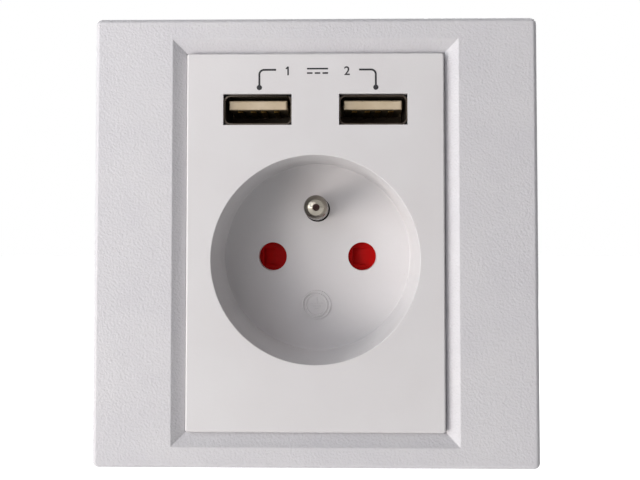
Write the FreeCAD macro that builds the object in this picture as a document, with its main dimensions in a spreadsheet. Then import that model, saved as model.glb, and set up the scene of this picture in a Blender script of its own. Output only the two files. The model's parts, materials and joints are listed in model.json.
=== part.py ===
import FreeCAD, Part
import math
import os
import re
import Sketcher

# A wall socket with a round recess, an earth pin, sliding safety shutters and two charging ports.
# X runs to the right, Z up, and the front faces -Y. The wall is the plane Y = 0.
# The origin is the middle of the cover, on the wall plane. A level counts forward from the wall.

dimensions = {
    # outer frame
    "plate_side": 14.9,
    "plate_band": 4.05,
    "plate_wall": 2.2,
    "plate_corner": 1.2,
    "plate_edge": 0.7,
    "bevel_wide": 2.35,
    "bevel_deep": 1.6,
    "collar_deep": 3.6,
    "hook_thick": 1.2,
    "hook_wide": 8,
    "hook_apart": 40,
    "hook_bite": 1.2,
    "hook_clear": 0.1,
    "hook_tip": 1.1,
    # cover with its recess
    "cover_margin": 7.89,
    "cup_side": 0.75,
    "cover_sink": 0.2,
    "cover_wall": 2,
    "cover_gap": 0.3,
    "cover_edge": 0.3,
    "cover_corner": 0.5,
    "skirt_wall": 2,
    "flange_reach": 2,
    "flange_thick": 1.4,
    "cup_drop": 3.4,
    "cup_deep": 16,
    "cup_mouth_across": 39.4,
    "cup_wall": 2,
    "cup_rim": 0.3,
    "floor_thick": 2.2,
    "pin_apart": 19,
    "pin_hole_across": 6,
    "pin_across": 4.8,
    "pin_long": 19,
    "pin_margin": 0.4,
    "boss_side_gap": 0.4,
    "boss_rise_gap": 1.3,
    "boss_across": 5.2,
    # earth pin and strap
    "earth_rise": 10,
    "earth_long": 14,
    "earth_gap": 0.25,
    "tip_across": 0.8,
    "earth_neck": 0.2,
    "earth_flange_across": 5.8,
    "earth_flange_thick": 1.2,
    "earth_tail_across": 4,
    "rivet_across": 2.8,
    "rivet_head_across": 4,
    "rivet_head_thick": 0.6,
    "strap_set": 4.8,
    "strap_thick": 0.8,
    "strap_wide": 5,
    "strap_foot": 6,
    "strap_margin": 2.6,
    # safety shutter and its pocket
    "shutter_thick": 2.4,
    "shutter_lap": 0.3,
    "shutter_side": 1,
    "shutter_gap": 0.2,
    "shutter_float": 0.1,
    "shutter_stop": 0.3,
    "ramp_tall": 3.6,
    "ramp_run": 4,
    "ramp_deep": 1.2,
    "pocket_wall": 1,
    "pocket_base": 1.2,
    "lug_thick": 1.4,
    "lug_tall": 2.8,
    "lug_left": 6,
    "spring_long": 10,
    "spring_across": 2.2,
    "spring_wire": 0.3,
    "spring_turns": 6,
    # support frame
    "support_side_gap": 4.3,
    "support_end_gap": 2.3,
    "support_thick": 1.2,
    "support_corner": 3,
    "fixing_apart": 60,
    "slot_across": 4,
    "slot_long": 7,
    # rear housing
    "cup_clear": 0.4,
    "board_headroom": 1.5,
    "housing_wall": 1.8,
    "housing_side_gap": 0.6,
    "clip_gap": 0.65,
    "head_gap": 1,
    "housing_round": 2.4,
    "nest_deep": 4,
    "nest_rib": 1.2,
    "nest_gap": 0.2,
    "nest_drop": 0.5,
    "ledge_reach": 1.2,
    "ledge_thick": 1.8,
    "ledge_start": 2,
    "ledge_long": 12,
    "entry_gap": 0.5,
    "driver_gap": 0.3,
    # housing screws
    "screw_across": 2.8,
    "screw_clear": 0.05,
    "screw_bite": 5.2,
    "screw_head_across": 5,
    "screw_head_thick": 1.6,
    "drive_long": 3,
    "drive_wide": 0.8,
    "drive_deep": 0.9,
    # contacts and their carrier
    "carrier_wall": 1.5,
    "carrier_floor": 1.8,
    "carrier_edge": 0.3,
    "well_wide": 8.4,
    "well_tall": 9,
    "contact_thick": 0.8,
    "contact_tall": 6,
    "contact_side_gap": 0.6,
    "contact_grip_gap": 0.05,
    "contact_flare": 0.65,
    "contact_mouth": 1.3,
    "contact_throat": 2.5,
    "tail_wide": 5,
    "tail_gap": 0.2,
    # terminals
    "terminal_apart": 13,
    "cage_gap": 0.4,
    "cage_wide": 7,
    "cage_tall": 7,
    "cage_deep": 9,
    "wire_hole_across": 4,
    "clamp_across": 3.5,
    "clamp_clear": 0.05,
    "clamp_reach": 0.5,
    "clamp_head_across": 5,
    "clamp_head_thick": 2,
    "clamp_slot_wide": 0.8,
    "clamp_slot_deep": 1,
    # charging ports
    "usb_apart": 22,
    "board_gap": 2.29,
    "window_lap": 0.05,
    "window_gap": 0.105,
    "window_skin": 0.6,
    "window_nest": 0.2,
    "shell_wide": 13.1,
    "shell_tall": 5.72,
    "shell_wall": 0.3,
    "shell_long": 10.5,
    "shell_seat": 0.3,
    "shell_corner": 0.8,
    "shell_sink": 0.2,
    "spring_slot_wide": 2.2,
    "spring_slot_long": 3.6,
    "spring_slot_apart": 5.2,
    "spring_slot_back": 3.2,
    "tongue_side": 0.7,
    "tongue_thick": 1.84,
    "tongue_lift": 1,
    "tongue_sink": 0.6,
    "tongue_edge": 0.25,
    "block_thick": 1.8,
    "block_gap": 0.1,
    "leaf_wide": 1,
    "leaf_thick": 0.3,
    "leaf_bow": 0.5,
    "leaf_inner": 1,
    "leaf_outer": 3.5,
    "leaf_sink": 0.8,
    # charger board and its pieces
    "board_thick": 1.6,
    "board_side": 1.95,
    "board_front_gap": 0.3,
    "board_side_gap": 0.45,
    "board_end": 1,
    "core_wide": 13,
    "core_long": 12,
    "core_tall": 5,
    "core_gap": 2.1,
    "core_leg": 3.6,
    "core_yoke": 1.8,
    "core_side": 1.6,
    "bobbin_gap": 0.2,
    "bobbin_wall": 2,
    "part_inset": 4.6,
    "input_across": 6.3,
    "input_long": 9.5,
    "input_gap": 1.95,
    "output_across": 5,
    "output_long": 8,
    "output_gap": 0.45,
    "chip_wide": 5,
    "chip_long": 4,
    "chip_thick": 1.4,
    "chip_edge": 0.3,
    "chip_gap": 4.8,
    "fuse_across": 3,
    "fuse_long": 7,
    "fuse_gap": 0.9,
    "disc_across": 7,
    "disc_thick": 3,
    "disc_gap": 0.4,
    "lead_across": 0.6,
    "lead_long": 0.8,
    "lead_apart": 4,
    # wires between the terminals and the board
    "wire_across": 1.3,
    "wire_rise": 2,
    "wire_set": 6.2,
    "wire_side_gap": 1.15,
    "wire_slope": 9.1,
    "wire_inset": 0.6,
    "wire_end_drop": 3.4,
}

# Places worked out from the driving dimensions.
places = {
    "plate_deep": "support_thick + shell_seat + shell_long + shell_sink + window_skin + cover_sink",
    "plate_wide": "opening_wide + 2 * bevel_wide + 2 * plate_side",
    "plate_tall": "opening_tall + 2 * bevel_wide + 2 * plate_band",
    "cover_wide": "2 * (cup_outside + cup_side + skirt_wall)",
    "cover_tall": "2 * (usb_rise + shell_tall / 2 + cover_margin)",
    "face": "plate_deep - cover_sink",
    "cover_inner": "face - cover_wall",
    "collar_back": "plate_deep - collar_deep",
    "flange_back": "collar_back - flange_thick",
    "opening_wide": "cover_wide + 2 * cover_gap",
    "opening_tall": "cover_tall + 2 * cover_gap",
    "collar_side": "opening_wide / 2 + bevel_wide",
    "floor_front": "face - cup_deep",
    "floor_back": "floor_front - floor_thick",
    "cup_outside": "cup_mouth_across / 2 + cup_wall",
    "boss_side": "pin_apart / 2 + pin_hole_across / 2 + boss_side_gap + boss_across / 2",
    "boss_rise": "pocket_half + pocket_wall + boss_rise_gap + boss_across / 2",
    "boss_long": "floor_back - housing_floor",
    "earth_high": "earth_rise - cup_drop",
    "strap_level": "strap_set - pocket_back",
    "support_wide": "plate_wide - 2 * plate_wall - 2 * support_side_gap",
    "support_tall": "plate_tall - 2 * plate_wall - 2 * support_end_gap",
    "inner_half": "max(cup_outside + cup_clear; pocket_right + pocket_wall + housing_side_gap)",
    "inner_low": "max(cup_drop + cup_outside + cup_clear; clamp_low + head_gap)",
    "inner_high": "board_top + board_headroom",
    "inner_clip": "inner_half + inner_low - cage_corner - clip_gap",
    "housing_half": "inner_half + housing_wall",
    "housing_low": "inner_low + housing_wall",
    "housing_high": "inner_high + housing_wall",
    "housing_clip": "inner_clip + housing_wall * (2 - sqrt(2))",
    "clip_slope": "inner_half + inner_high - inner_clip",
    "well_floor": "floor_front - pin_long - pin_margin - contact_thick",
    "housing_floor": "well_floor - carrier_floor",
    "housing_deep": "housing_wall - housing_floor",
    "blade_wide": "pin_hole_across + 2 * shutter_lap",
    "shutter_half": "pin_apart / 2 + blade_wide / 2",
    "shutter_tall": "pin_hole_across + 2 * shutter_side",
    "shutter_travel": "blade_wide",
    "shutter_back": "floor_back - shutter_float - shutter_thick",
    "pocket_floor": "shutter_back - shutter_float",
    "pocket_back": "pocket_floor - pocket_base",
    "pocket_left": "shutter_half + shutter_stop",
    "pocket_right": "shutter_half + shutter_travel + shutter_stop",
    "pocket_half": "shutter_tall / 2 + shutter_gap",
    "lug_low": "shutter_tall / 2 + lug_tall",
    "channel_left": "lug_left + shutter_stop",
    "channel_right": "lug_thick - lug_left + spring_long",
    "channel_low": "lug_low + shutter_gap",
    "carrier_half": "pin_apart / 2 + well_wide / 2 + carrier_wall",
    "carrier_tall": "well_tall + 2 * carrier_wall + 2 * carrier_edge",
    "contact_base": "well_wide / 2 - contact_side_gap",
    "contact_grip": "pin_across / 2 + contact_grip_gap",
    "terminal_drop": "cup_drop + boss_rise + boss_across / 2 + cage_gap + cage_tall / 2",
    "cage_top": "cage_tall / 2 - terminal_drop",
    "cage_low": "-cage_tall / 2 - terminal_drop",
    "cage_corner": "terminal_apart + cage_wide / 2 - cage_low",
    "clamp_low": "clamp_head_thick - cage_low",
    "clamp_middle": "housing_floor + cage_deep / 2",
    "usb_rise": "cup_outside - cup_drop + board_gap + board_thick + shell_tall / 2",
    "window_wide": "shell_wide - 2 * window_lap",
    "window_tall": "shell_tall + 2 * window_gap",
    "tongue_wide": "shell_wide - 2 * shell_wall - 2 * tongue_side",
    "board_top": "usb_rise - shell_tall / 2",
    "board_low": "board_top - board_thick",
    "shell_mouth": "face - window_skin - shell_sink",
    "shell_end": "shell_mouth - shell_long",
    "block_front": "shell_end + block_gap + block_thick",
    "tongue_front": "shell_mouth - tongue_sink",
    "tongue_low": "usb_rise + tongue_lift - tongue_thick / 2",
    "board_front_wide": "usb_apart + shell_wide + 2 * board_side",
    "board_rear_wide": "2 * (clip_slope - board_top - board_side_gap)",
    "board_rear_long": "core_level + core_long + board_end",
    "part_side": "board_rear_wide / 2 - part_inset",
    "core_level": "core_gap - floor_back",
    "input_level": "input_gap + input_across / 2 - floor_back",
    "output_level": "input_level + input_across / 2 + output_gap + output_across / 2",
    "fuse_level": "fuse_gap + fuse_long / 2 - floor_back",
    "disc_level": "fuse_level + fuse_long / 2 + disc_gap + disc_across / 2",
    "chip_level": "shell_mouth - chip_gap - chip_long",
    "wire_level": "-housing_floor - wire_set",
    "wire_side": "inner_half - wire_across / 2 - wire_side_gap",
    "wire_end_side": "board_rear_wide / 2 - wire_inset",
    "bobbin_half": "core_wide / 2 - core_side - bobbin_gap",
    "bobbin_low": "core_middle - core_tall / 2 - bobbin_gap - bobbin_wall",
    "core_middle": "board_low - bobbin_wall - bobbin_gap - core_tall / 2",
    "screw_end": "housing_floor + screw_bite",
}

doc = FreeCAD.newDocument("wall_socket")
sheet = doc.addObject("Spreadsheet::Sheet", "sizes")
for row, (alias, value) in enumerate(dimensions.items(), 1):
    sheet.set(f"A{row}", alias)
    sheet.set(f"B{row}", str(value))
    sheet.setAlias(f"B{row}", alias)
doc.recompute()

pieces = []
wire_sides = 6
bends_a_turn = 8
bend_share = 0.45


def bound(text):
    """Returns text as an expression on the sheet, with each place written out."""

    def swap(found):
        word = found.group()
        if word in places:
            return "(" + bound(places[word]) + ")"
        return "sizes." + word if word in dimensions else word

    return re.sub(r"[a-z][a-z0-9_]*", swap, str(text))


def new_body(label):
    """Starts a sub-part made of sketches and features."""
    body = doc.addObject("PartDesign::Body", label)
    body.Label = label
    pieces.append(body)
    return body


def new_sketch(body, role, shift, across, along):
    """Adds a sketch on one of the body's origin planes, moved by three expressions."""
    sketch = body.newObject("Sketcher::SketchObject", body.Label + "_outline")
    plane = next(item for item in body.Origin.OriginFeatures if item.Role == role)
    sketch.AttachmentSupport = (plane, [""])
    sketch.MapMode = "FlatFace"
    sketch.setExpression("AttachmentOffset.Base.x", bound(across))
    sketch.setExpression("AttachmentOffset.Base.y", bound(along))
    sketch.setExpression("AttachmentOffset.Base.z", bound(shift))
    return sketch


def facing(body, level, x="0", z="0"):
    """A sketch that faces the viewer: its axes are X and Z, and it lies level forward."""
    return new_sketch(body, "XZ_Plane", level, x, z)


def seen_from_right(body, x, z="0"):
    """A sketch across X: its axes are Y and Z."""
    return new_sketch(body, "YZ_Plane", x, "0", z)


def seen_from_above(body, z, x="0"):
    """A sketch across Z: its axes are X and Y."""
    return new_sketch(body, "XY_Plane", z, x, "0")


def pin_point(sketch, item, end, x, y):
    """Fixes one point of a sketch by two expressions."""
    for kind, text in (("DistanceX", x), ("DistanceY", y)):
        index = sketch.addConstraint(Sketcher.Constraint(kind, -1, 1, item, end, 1))
        sketch.setExpression(f"Constraints[{index}]", bound(text))


def outline(sketch, points):
    """Draws a closed outline of straight lines through points given as expressions."""
    first = sketch.GeometryCount
    count = len(points)
    start = FreeCAD.Vector(10, 0, 0)
    turn = FreeCAD.Rotation(FreeCAD.Vector(0, 0, 1), 360 / count)
    for number in range(count):
        end = turn.multVec(start)
        sketch.addGeometry(Part.LineSegment(start, end))
        start = end
    for number in range(count):
        follower = first + (number + 1) % count
        sketch.addConstraint(Sketcher.Constraint("Coincident", first + number, 2, follower, 1))
    for number, (x, y) in enumerate(points):
        pin_point(sketch, first + number, 1, x, y)


def rectangle(sketch, left, low, right, high):
    """Draws a rectangle between four expressions."""
    outline(sketch, [(left, low), (right, low), (right, high), (left, high)])


def centred(sketch, wide, tall):
    """Draws a rectangle about the sketch's own centre."""
    rectangle(sketch, f"-({wide}) / 2", f"-({tall}) / 2", f"({wide}) / 2", f"({tall}) / 2")


def circle(sketch, across, x="0", y="0"):
    """Draws a circle by its diameter and centre."""
    item = sketch.addGeometry(Part.Circle(FreeCAD.Vector(), FreeCAD.Vector(0, 0, 1), 1))
    pin_point(sketch, item, 3, x, y)
    index = sketch.addConstraint(Sketcher.Constraint("Radius", item, 1))
    sketch.setExpression(f"Constraints[{index}]", bound(f"({across}) / 2"))


def pad(body, sketch, length, back=False, middle=False):
    """Adds a prism. It grows forward, up or to the right unless back is set."""
    feature = body.newObject("PartDesign::Pad", body.Label + "_pad")
    feature.Profile = sketch
    feature.setExpression("Length", bound(length))
    feature.Reversed = back
    feature.Midplane = middle
    return feature


def pocket(body, sketch, length, forward=False, middle=False):
    """Cuts a prism. It goes back, down or to the left unless forward is set."""
    feature = body.newObject("PartDesign::Pocket", body.Label + "_pocket")
    feature.Profile = sketch
    feature.setExpression("Length", bound(length))
    feature.Reversed = forward
    feature.Midplane = middle
    return feature


def cut_through(body, sketch):
    """Cuts a prism through everything behind its sketch."""
    feature = body.newObject("PartDesign::Pocket", body.Label + "_cut")
    feature.Profile = sketch
    feature.Type = 1
    return feature


def turned(body, sketch, kind="PartDesign::Revolution"):
    """Turns a profile about the horizontal axis of its sketch."""
    feature = body.newObject(kind, body.Label + "_turned")
    feature.Profile = sketch
    feature.ReferenceAxis = (sketch, ["H_Axis"])
    feature.Angle = 360
    return feature


def edges_where(body, test):
    """Names the edges of a body for which the test holds."""
    doc.recompute()
    edges = body.Tip.Shape.Edges
    return [f"Edge{number}" for number, edge in enumerate(edges, 1) if test(edge)]


def rounded(body, radius, test, kind="PartDesign::Fillet"):
    """Rounds or bevels the edges for which the test holds."""
    names = edges_where(body, test)
    base = body.Tip
    feature = body.newObject(kind, body.Label + "_edge")
    feature.Base = (base, names)
    feature.setExpression("Radius" if kind.endswith("Fillet") else "Size", bound(radius))
    return feature


def runs_deep(edge):
    """True for a straight edge along Y."""
    box = edge.BoundBox
    return box.YLength > box.XLength + box.ZLength and edge.Curve.TypeId == "Part::GeomLine"


def on_front(body):
    """A test for edges that lie in the foremost plane of a body."""
    doc.recompute()
    front = body.Tip.Shape.BoundBox.YMin
    return lambda edge: abs(edge.BoundBox.YMin - front) + edge.BoundBox.YLength < 0.001


def is_round(edge, across):
    """True for a circular edge of about that diameter."""
    return edge.Curve.TypeId == "Part::GeomCircle" and abs(2 * edge.Curve.Radius - across) < 0.01


def new_mark(label, x, y, z):
    """A point of a wire's line, fixed by three expressions."""
    mark = doc.addObject("Part::Vertex", label)
    for axis, text in (("X", x), ("Y", y), ("Z", z)):
        mark.setExpression(axis, bound(text))
    return mark


def places_of(marks):
    """The points at which the marks lie."""
    doc.recompute()
    return [FreeCAD.Vector(mark.X.Value, mark.Y.Value, mark.Z.Value) for mark in marks]


def swept(label, line, across, mitre=0):
    """A sub-part made by sweeping a many-sided section along a line."""
    edge = line.OrderedEdges[0]
    start = edge.valueAt(edge.FirstParameter)
    onward = edge.tangentAt(edge.FirstParameter)
    rim = Part.Circle(start, onward, sheet.get(across) / 2)
    turns = [2 * math.pi * number / wire_sides for number in range(wire_sides + 1)]
    section = Part.makePolygon([rim.value(turn) for turn in turns])
    piece = doc.addObject("Part::Feature", label)
    piece.Shape = line.makePipeShell([section], True, False, mitre)
    piece.Placement = FreeCAD.Placement()
    pieces.append(piece)


def clipped(half, low, high, clip):
    """The eight corners of a rectangle whose corners are cut off."""
    return [
        (f"{half} - {clip}", f"-{low}"),
        (half, f"-{low} + {clip}"),
        (half, f"{high} - {clip}"),
        (f"{half} - {clip}", high),
        (f"-{half} + {clip}", high),
        (f"-{half}", f"{high} - {clip}"),
        (f"-{half}", f"-{low} + {clip}"),
        (f"-{half} + {clip}", f"-{low}"),
    ]


def four_bosses():
    """The places of the four screws about the recess."""
    return [(side, rise) for side in (-1, 1) for rise in (-1, 1)]


def make_outer_frame():
    """The square plate with its mitred bevel, hollow back, collar and four snap hooks."""
    body = new_body("outer_frame")
    sketch = facing(body, "0")
    centred(sketch, "plate_wide", "plate_tall")
    pad(body, sketch, "plate_deep")
    rounded(body, "plate_corner", runs_deep)
    rounded(body, "plate_edge", on_front(body), "PartDesign::Chamfer")
    sketch = facing(body, "0")
    centred(sketch, "plate_wide - 2 * plate_wall", "plate_tall - 2 * plate_wall")
    pocket(body, sketch, "collar_back", forward=True)
    sketch = facing(body, "collar_back")
    centred(sketch, "plate_wide - 2 * plate_wall", "plate_tall - 2 * plate_wall")
    centred(sketch, "opening_wide + 2 * bevel_wide", "opening_tall + 2 * bevel_wide")
    pocket(body, sketch, "collar_deep - plate_wall", forward=True)
    sketch = facing(body, "plate_deep")
    centred(sketch, "opening_wide", "opening_tall")
    cut_through(body, sketch)
    mouth = facing(body, "plate_deep")
    centred(mouth, "opening_wide + 2 * bevel_wide", "opening_tall + 2 * bevel_wide")
    throat = facing(body, "plate_deep - bevel_deep")
    centred(throat, "opening_wide", "opening_tall")
    bevel = body.newObject("PartDesign::SubtractiveLoft", "bevel")
    bevel.Profile = mouth
    bevel.Sections = [throat]
    bevel.Ruled = True
    catch = "(flange_back - hook_clear)"
    for side in (-1, 1):
        for rise in (-1, 1):
            sketch = seen_from_above(body, f"{rise} * hook_apart / 2")
            inner = f"{side} * collar_side"
            outer = f"{side} * (collar_side + hook_thick)"
            tip = f"{side} * (collar_side - hook_bite)"
            top = "-(plate_deep - plate_wall)"
            corners = [
                (inner, top),
                (outer, top),
                (outer, f"hook_tip - {catch}"),
                (inner, f"hook_tip - {catch}"),
                (tip, f"hook_tip / 3 - {catch}"),
                (tip, f"-{catch}"),
                (inner, f"-{catch}"),
            ]
            outline(sketch, corners)
            pad(body, sketch, "hook_wide", middle=True)


def make_cover_plate():
    """The white cover: front wall, skirt, flange, round recess, windows and screw bosses."""
    body = new_body("cover_plate")
    sketch = facing(body, "support_thick")
    centred(sketch, "cover_wide", "cover_tall")
    pad(body, sketch, "face - support_thick")
    rounded(body, "cover_corner", runs_deep)
    rounded(body, "cover_edge", on_front(body), "PartDesign::Chamfer")
    sketch = facing(body, "support_thick")
    centred(sketch, "cover_wide - 2 * skirt_wall", "cover_tall - 2 * skirt_wall")
    pocket(body, sketch, "cover_inner - support_thick", forward=True)
    sketch = facing(body, "flange_back")
    centred(sketch, "cover_wide + 2 * flange_reach", "cover_tall + 2 * flange_reach")
    centred(sketch, "cover_wide - skirt_wall", "cover_tall - skirt_wall")
    pad(body, sketch, "flange_thick")
    sketch = seen_from_right(body, "0", "-cup_drop")
    shell = [
        ("-face", "0"),
        ("-face", "cup_outside"),
        ("-floor_back", "cup_outside"),
        ("-floor_back", "0"),
    ]
    outline(sketch, shell)
    turned(body, sketch)
    sketch = seen_from_right(body, "0", "-cup_drop")
    hollow = [
        ("-face", "0"),
        ("-face", "cup_mouth_across / 2"),
        ("-floor_front", "cup_mouth_across / 2"),
        ("-floor_front", "0"),
    ]
    outline(sketch, hollow)
    turned(body, sketch, "PartDesign::Groove")
    doc.recompute()
    front = body.Tip.Shape.BoundBox.YMin
    mouth = dimensions["cup_mouth_across"]
    rim = lambda edge: is_round(edge, mouth) and edge.BoundBox.YMin < front + 0.001
    rounded(body, "cup_rim", rim, "PartDesign::Chamfer")
    sketch = facing(body, "floor_front", z="-cup_drop")
    for side in (-1, 1):
        circle(sketch, "pin_hole_across", f"{side} * pin_apart / 2")
    circle(sketch, "pin_across + 2 * earth_gap", "0", "earth_rise")
    cut_through(body, sketch)
    sketch = facing(body, "face", z="usb_rise")
    for side in (-1, 1):
        middle = f"{side} * usb_apart / 2"
        left = f"{middle} - window_wide / 2"
        right = f"{middle} + window_wide / 2"
        rectangle(sketch, left, "-window_tall / 2", right, "window_tall / 2")
    cut_through(body, sketch)
    sketch = facing(body, "cover_inner", z="usb_rise")
    for side in (-1, 1):
        middle = f"{side} * usb_apart / 2"
        left = f"{middle} - shell_wide / 2 - window_nest"
        right = f"{middle} + shell_wide / 2 + window_nest"
        rectangle(sketch, left, "-shell_tall / 2 - window_nest", right, "shell_tall / 2 + window_nest")
    pocket(body, sketch, "cover_wall - window_skin", forward=True)
    for across, start, reach, adds in (
        ("boss_across", "floor_back", "boss_long", True),
        ("screw_across + 2 * screw_clear", "housing_floor", "screw_bite + screw_clear", False),
    ):
        sketch = facing(body, start, z="-cup_drop")
        for side, rise in four_bosses():
            circle(sketch, across, f"{side} * boss_side", f"{rise} * boss_rise")
        if adds:
            pad(body, sketch, reach, back=True)
        else:
            pocket(body, sketch, reach, forward=True)


def make_earth_pin():
    """The turned pin: domed tip, flange behind the floor, tail and rivet head."""
    body = new_body("earth_pin")
    sketch = seen_from_right(body, "0", "earth_high")
    tip = "(floor_front + earth_long)"
    dome = [
        (f"pin_across / 2 * (1 - cos({angle} deg)) - {tip}", f"pin_across / 2 * sin({angle} deg)")
        for angle in (25, 55, 90)
    ]
    profile = [(f"-{tip}", "0"), (f"-{tip}", "tip_across / 2")] + dome + [
        ("-floor_front", "pin_across / 2"),
        ("-floor_front", "pin_across / 2 - earth_neck"),
        ("-floor_back", "pin_across / 2 - earth_neck"),
        ("-floor_back", "earth_flange_across / 2"),
        ("earth_flange_thick - floor_back", "earth_flange_across / 2"),
        ("earth_flange_thick - floor_back", "earth_tail_across / 2"),
        ("strap_level", "earth_tail_across / 2"),
        ("strap_level", "rivet_across / 2"),
        ("strap_level + strap_thick", "rivet_across / 2"),
        ("strap_level + strap_thick", "rivet_head_across / 2"),
        ("strap_level + strap_thick + rivet_head_thick", "rivet_head_across / 2"),
        ("strap_level + strap_thick + rivet_head_thick", "0"),
    ]
    outline(sketch, profile)
    turned(body, sketch)


def make_safety_shutter():
    """Two blades on one sliding frame, each with a ramp, and a lug for the spring."""
    body = new_body("safety_shutter")
    sketch = facing(body, "shutter_back", z="-cup_drop")
    centred(sketch, "2 * shutter_half", "shutter_tall")
    centred(sketch, "2 * shutter_half - 2 * blade_wide", "pin_hole_across + 2 * shutter_lap")
    pad(body, sketch, "shutter_thick")
    front = "(floor_back - shutter_float)"
    for side in (-1, 1):
        sketch = seen_from_above(body, "-cup_drop", f"{side} * pin_apart / 2")
        left = "-ramp_run / 2"
        ramp = [(left, f"-{front}"), ("ramp_run / 2", f"-{front}"), (left, f"ramp_deep - {front}")]
        outline(sketch, ramp)
        pocket(body, sketch, "ramp_tall", middle=True)
    sketch = facing(body, "shutter_back", z="-cup_drop")
    rectangle(sketch, "-lug_left", "-lug_low", "lug_thick - lug_left", "-shutter_tall / 2")
    pad(body, sketch, "shutter_thick")


def make_shutter_housing():
    """The pocket that the shutter slides in, with its two holes and the spring channel."""
    body = new_body("shutter_housing")
    low = "channel_low + pocket_wall"
    sketch = facing(body, "pocket_back", z="-cup_drop")
    rim = [
        ("-pocket_left - pocket_wall", "-pocket_half - pocket_wall"),
        ("-channel_left - pocket_wall", "-pocket_half - pocket_wall"),
        ("-channel_left - pocket_wall", f"-({low})"),
        ("channel_right + pocket_wall", f"-({low})"),
        ("channel_right + pocket_wall", "-pocket_half - pocket_wall"),
        ("pocket_right + pocket_wall", "-pocket_half - pocket_wall"),
        ("pocket_right + pocket_wall", "pocket_half + pocket_wall"),
        ("-pocket_left - pocket_wall", "pocket_half + pocket_wall"),
    ]
    outline(sketch, rim)
    pad(body, sketch, "floor_back - pocket_back")
    sketch = facing(body, "floor_back", z="-cup_drop")
    hollow = [
        ("-pocket_left", "-pocket_half"),
        ("-channel_left", "-pocket_half"),
        ("-channel_left", "-channel_low"),
        ("channel_right", "-channel_low"),
        ("channel_right", "-pocket_half"),
        ("pocket_right", "-pocket_half"),
        ("pocket_right", "pocket_half"),
        ("-pocket_left", "pocket_half"),
    ]
    outline(sketch, hollow)
    pocket(body, sketch, "floor_back - pocket_floor")
    sketch = facing(body, "pocket_floor", z="-cup_drop")
    for side in (-1, 1):
        circle(sketch, "pin_hole_across", f"{side} * pin_apart / 2")
    cut_through(body, sketch)


def make_shutter_spring():
    """The coil spring that pushes the shutter closed, between its lug and the channel's end."""
    start = "lug_thick - lug_left"
    radius = "(spring_across - spring_wire) / 2"
    middle_z = "-cup_drop - shutter_tall / 2 - lug_tall / 2"
    middle_y = "-(floor_back - shutter_float - shutter_thick / 2)"
    bends = int(dimensions["spring_turns"] * bends_a_turn)
    step = "(spring_long - spring_wire) / spring_turns"
    marks = []
    for number in range(bends + 1):
        angle = 360 * number / bends_a_turn
        along = f"{start} + spring_wire / 2 + {step} * {number / bends_a_turn}"
        across = f"{middle_y} + {radius} * sin({angle} deg)"
        down = f"{middle_z} - {radius} * cos({angle} deg)"
        marks.append(new_mark("spring_mark", along, across, down))
    swept("shutter_spring", Part.makePolygon(places_of(marks)), "spring_wire", 1)


def make_support_frame():
    """The steel plate that is screwed to the wall box by two slots."""
    body = new_body("support_frame")
    sketch = facing(body, "0")
    centred(sketch, "support_wide", "support_tall")
    pad(body, sketch, "support_thick")
    rounded(body, "support_corner", runs_deep)
    sketch = facing(body, "support_thick")
    outline(sketch, clipped("inner_half", "inner_low", "inner_high", "inner_clip"))
    cut_through(body, sketch)
    sketch = facing(body, "support_thick")
    straight = "(slot_long / 2 - slot_across / 2)"
    for side in (-1, 1):
        middle = f"{side} * fixing_apart / 2"
        left = f"{middle} - {straight}"
        right = f"{middle} + {straight}"
        rectangle(sketch, left, "-slot_across / 2", right, "slot_across / 2")
    cut_through(body, sketch)
    sketch = facing(body, "support_thick")
    for side in (-1, 1):
        for end in (-1, 1):
            circle(sketch, "slot_across", f"{side} * fixing_apart / 2 + {end} * {straight}")
    cut_through(body, sketch)


def make_rear_housing():
    """The deep insulating shell behind the wall, with pillars, nests, ledges and entries."""
    body = new_body("rear_housing")
    sketch = facing(body, "0")
    outline(sketch, clipped("housing_half", "housing_low", "housing_high", "housing_clip"))
    pad(body, sketch, "housing_deep", back=True)
    rounded(body, "housing_round", runs_deep)
    doc.recompute()
    block = body.Tip
    middles = [face.CenterOfMass.y for face in block.Shape.Faces]
    open_face = f"Face{middles.index(min(middles)) + 1}"
    shell = body.newObject("PartDesign::Thickness", "housing_shell")
    shell.Base = (block, [open_face])
    shell.setExpression("Value", bound("housing_wall"))
    shell.Reversed = True
    shell.Join = 1
    sketch = facing(body, "housing_floor", z="-cup_drop")
    for side, rise in four_bosses():
        circle(sketch, "screw_across + 2 * screw_clear", f"{side} * boss_side", f"{rise} * boss_rise")
    cut_through(body, sketch)
    sketch = facing(body, "housing_floor")
    for place in (-1, 0, 1):
        for side in (-1, 1):
            near = f"{place} * terminal_apart + {side} * (cage_wide / 2 + nest_gap)"
            far = f"{place} * terminal_apart + {side} * (cage_wide / 2 + nest_gap + nest_rib)"
            rectangle(sketch, near, "cage_low", far, "cage_top - nest_drop")
    pad(body, sketch, "nest_deep")
    sketch = facing(body, "housing_floor")
    for place in (-1, 0, 1):
        across = "wire_hole_across + 2 * entry_gap"
        circle(sketch, across, f"{place} * terminal_apart", "-terminal_drop")
    cut_through(body, sketch)
    sketch = seen_from_above(body, "cage_low")
    reach = "(clamp_head_across / 2 + driver_gap)"
    for place in (-1, 0, 1):
        middle = f"{place} * terminal_apart"
        corners = (f"{middle} - {reach}", f"-clamp_middle - {reach}")
        rectangle(sketch, *corners, f"{middle} + {reach}", f"-clamp_middle + {reach}")
    cut_through(body, sketch)
    for side in (-1, 1):
        sketch = facing(body, "-ledge_start")
        reach = "board_rear_wide / 2 - ledge_reach"
        corners = [
            (f"{side} * ({reach})", "board_low - ledge_thick"),
            (f"{side} * ({reach})", "board_low"),
            (f"{side} * (clip_slope - board_low + housing_wall / 2)", "board_low"),
            (f"{side} * (clip_slope - board_low + housing_wall / 2)", "board_low - ledge_thick"),
        ]
        outline(sketch, corners)
        pad(body, sketch, "ledge_long", back=True)


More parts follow.
